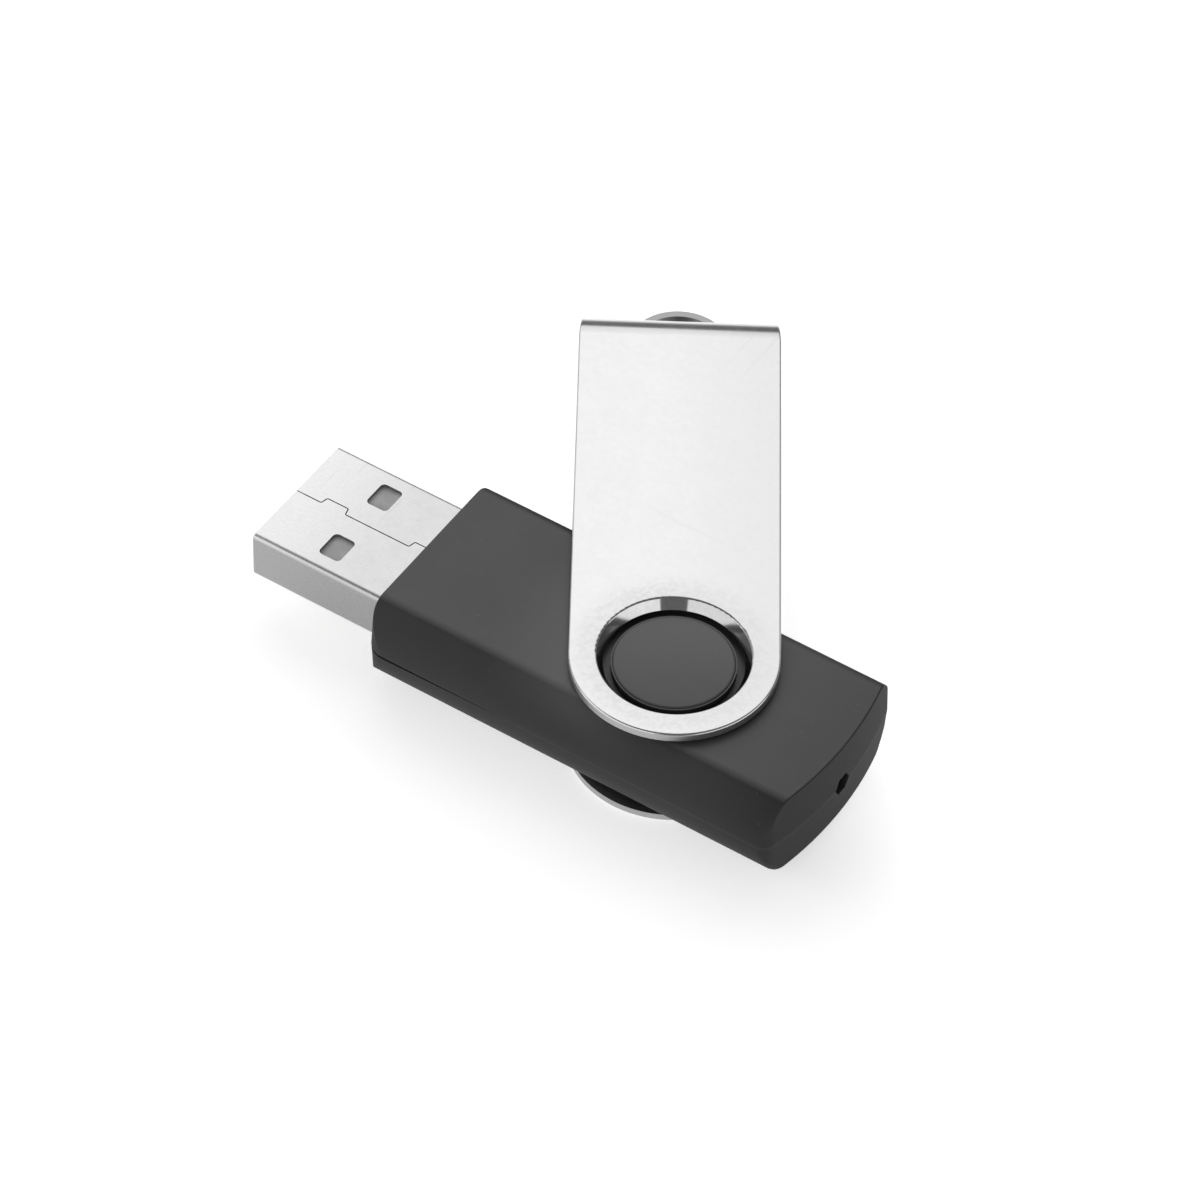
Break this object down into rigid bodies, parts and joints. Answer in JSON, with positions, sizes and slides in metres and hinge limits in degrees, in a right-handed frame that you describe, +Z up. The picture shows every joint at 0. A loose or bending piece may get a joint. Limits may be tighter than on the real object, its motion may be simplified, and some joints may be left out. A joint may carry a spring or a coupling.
{
  "type": "usb flash drive",
  "caption": "USB flash drive with a soft-touch plastic body, a standard metal plug and a folded steel cover that swivels about a round boss and carries a lanyard loop.",
  "frame": {"origin": "centre of the plug's open front face, at mid-thickness", "axes": "+X along the stick from the plug to the tail, +Z up through the thickness, the cover swung out towards +Y"},
  "size_m": [0.0507, 0.046, 0.01],
  "materials": {
    "body_soft_touch": "soft-touch coated, fine matt texture",
    "cover_steel": "satin stainless sheet, polished collars",
    "plug_steel": "satin nickel-plated sheet",
    "insulator_plastic": "moulded grey",
    "contact_gold": "gold-plated",
    "board_laminate": "solder-masked laminate",
    "chip_plastic": "moulded, unmarked",
    "lead_tin": "tin-plated",
    "crystal_ceramic": "ceramic",
    "crystal_metal": "plated lid",
    "capacitor_ceramic": "fired ceramic",
    "resistor_film": "glazed, unmarked",
    "led_base": "white reflector",
    "led_lens": "clear resin, unlit",
    "solder": "bright solder"
  },
  "bodies": {
    "stick": {"upper_shell": "body_soft_touch", "lower_shell": "body_soft_touch", "plug_shell": "plug_steel", "plug_insulator": "insulator_plastic", "contact_power": "contact_gold", "contact_data_minus": "contact_gold", "contact_data_plus": "contact_gold", "contact_ground": "contact_gold", "circuit_board": "board_laminate", "flash_chip": "chip_plastic", "controller_chip": "chip_plastic", "flash_chip_leads": "lead_tin", "controller_leads": "lead_tin", "capacitor_ends": "lead_tin", "resistor_ends": "lead_tin", "crystal_base": "crystal_ceramic", "crystal_lid": "crystal_metal", "capacitors": "capacitor_ceramic", "resistors": "resistor_film", "status_led_base": "led_base", "status_led_lens": "led_lens", "contact_solder_joints": "solder", "shell_solder_joints": "solder"},
    "cover": {"swivel_cover": "cover_steel"}
  },
  "joints": [
    {"name": "cover_swivel", "type": "hinge", "parent": "stick", "child": "cover", "pos_m": [0.0353, 0, 0], "axis": [0, 0, 1], "continuous": true}
  ]
}
